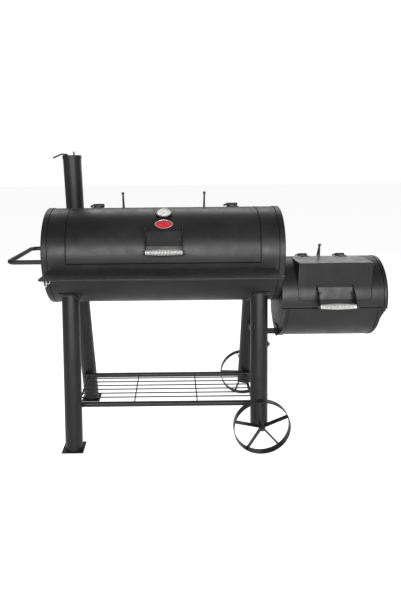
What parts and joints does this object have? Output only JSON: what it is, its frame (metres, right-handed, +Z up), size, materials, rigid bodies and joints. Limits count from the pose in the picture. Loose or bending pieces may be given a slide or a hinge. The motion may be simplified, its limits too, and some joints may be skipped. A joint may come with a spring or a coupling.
{
  "type": "barrel charcoal grill",
  "caption": "Offset charcoal smoker: a long barrel grill on splayed legs and spoked wheels, with a side firebox, smoke stack, front shelf and wire rack below.",
  "frame": {"origin": "middle of the overall footprint, on the floor", "axes": "+X along the barrel towards the firebox, +Y to the back, +Z up; the lids, shelf and handles face -Y"},
  "size_m": [1.925, 0.843, 1.486],
  "materials": {
    "black_paint": "satin heat-resistant black paint on rolled steel",
    "dark_steel": "dark plated fasteners and rods",
    "bright_coil": "bright spring wire",
    "bright_rim": "polished bezel",
    "cast_iron": "seasoned cast iron",
    "dial_white": "matt white dial face",
    "dial_glass": "clear flat glass",
    "needle_black": "matt black pointer",
    "red_plate": "plain red enamel plate without lettering"
  },
  "bodies": {
    "frame": {"barrel_shell": "black_paint", "lid_lip": "black_paint", "end_cap_left": "black_paint", "end_cap_right": "black_paint", "smoke_stack": "black_paint", "stack_collar": "black_paint", "shelf": "black_paint", "shelf_brackets": "black_paint", "tool_hooks": "bright_coil", "pull_handle": "black_paint", "leg_front_left": "black_paint", "leg_rear_left": "black_paint", "leg_front_right": "black_paint", "leg_rear_right": "black_paint", "leg_saddles": "black_paint", "foot_front_left": "black_paint", "foot_rear_left": "black_paint", "rack_tube_front": "black_paint", "rack_tube_rear": "black_paint", "rack_wires": "black_paint", "axle": "dark_steel", "leg_brace": "black_paint", "brace_bolts": "dark_steel", "support_arm": "black_paint", "firebox_shell": "black_paint", "firebox_end_left": "black_paint", "firebox_end_right": "black_paint", "hinge_bases": "black_paint", "hinge_pins": "dark_steel", "lid_stops": "black_paint", "cooking_grate_left": "cast_iron", "cooking_grate_right": "cast_iron", "grate_rails": "black_paint", "charcoal_tray": "black_paint"},
    "main_lid": {"lid_shell": "black_paint", "lid_hinge_leaves": "black_paint", "lid_handle_bracket": "black_paint", "lid_handle_grip": "bright_coil", "lid_handle_rod": "dark_steel", "thermometer_case": "black_paint", "thermometer_bezel": "bright_rim", "thermometer_dial": "dial_white", "thermometer_glass": "dial_glass", "name_plate": "red_plate"},
    "needle": {"thermometer_needle": "needle_black"},
    "fire_lid": {"firebox_lid": "black_paint", "firebox_lid_leaves": "black_paint", "firebox_handle_bracket": "black_paint", "firebox_handle_grip": "bright_coil", "firebox_handle_rod": "dark_steel"},
    "drawer": {"ash_drawer": "black_paint", "drawer_handle_bracket": "black_paint", "drawer_handle_grip": "bright_coil", "drawer_handle_rod": "dark_steel", "fire_grate": "cast_iron"},
    "air_damper": {"air_damper": "black_paint"},
    "stack_damper": {"stack_damper": "black_paint"},
    "front_wheel": {"wheel_front": "black_paint"},
    "rear_wheel": {"wheel_rear": "black_paint"}
  },
  "joints": [
    {"name": "main_lid_hinge", "type": "hinge", "parent": "frame", "child": "main_lid", "pos_m": [-0.2015, 0.1035, 1.21], "axis": [-1, 0, 0], "range_deg": [0, 112]},
    {"name": "needle_turn", "type": "hinge", "parent": "main_lid", "child": "needle", "pos_m": [-0.198, -0.08798, 1.18471], "axis": [0, 0.4695, -0.8829], "range_deg": [0, 270]},
    {"name": "firebox_lid_hinge", "type": "hinge", "parent": "frame", "child": "fire_lid", "pos_m": [0.6395, 0.0901, 0.9429], "axis": [-1, 0, 0], "range_deg": [0, 110]},
    {"name": "drawer_slide", "type": "slide", "parent": "frame", "child": "drawer", "axis": [1, 0, 0], "range_m": [0, 0.38]},
    {"name": "air_damper_turn", "type": "hinge", "parent": "frame", "child": "air_damper", "pos_m": [0.9125, 0.0315, 0.829], "axis": [1, 0, 0], "range_deg": [0, 60]},
    {"name": "stack_damper_turn", "type": "hinge", "parent": "frame", "child": "stack_damper", "pos_m": [-0.6865, 0.264, 1.463], "axis": [0, 0, -1], "range_deg": [0, 90]},
    {"name": "front_wheel_roll", "type": "hinge", "parent": "frame", "child": "front_wheel", "pos_m": [0.2815, -0.3235, 0.1425], "axis": [0, 1, 0], "continuous": true},
    {"name": "rear_wheel_roll", "type": "hinge", "parent": "frame", "child": "rear_wheel", "pos_m": [0.2815, 0.3865, 0.1425], "axis": [0, 1, 0], "continuous": true}
  ]
}
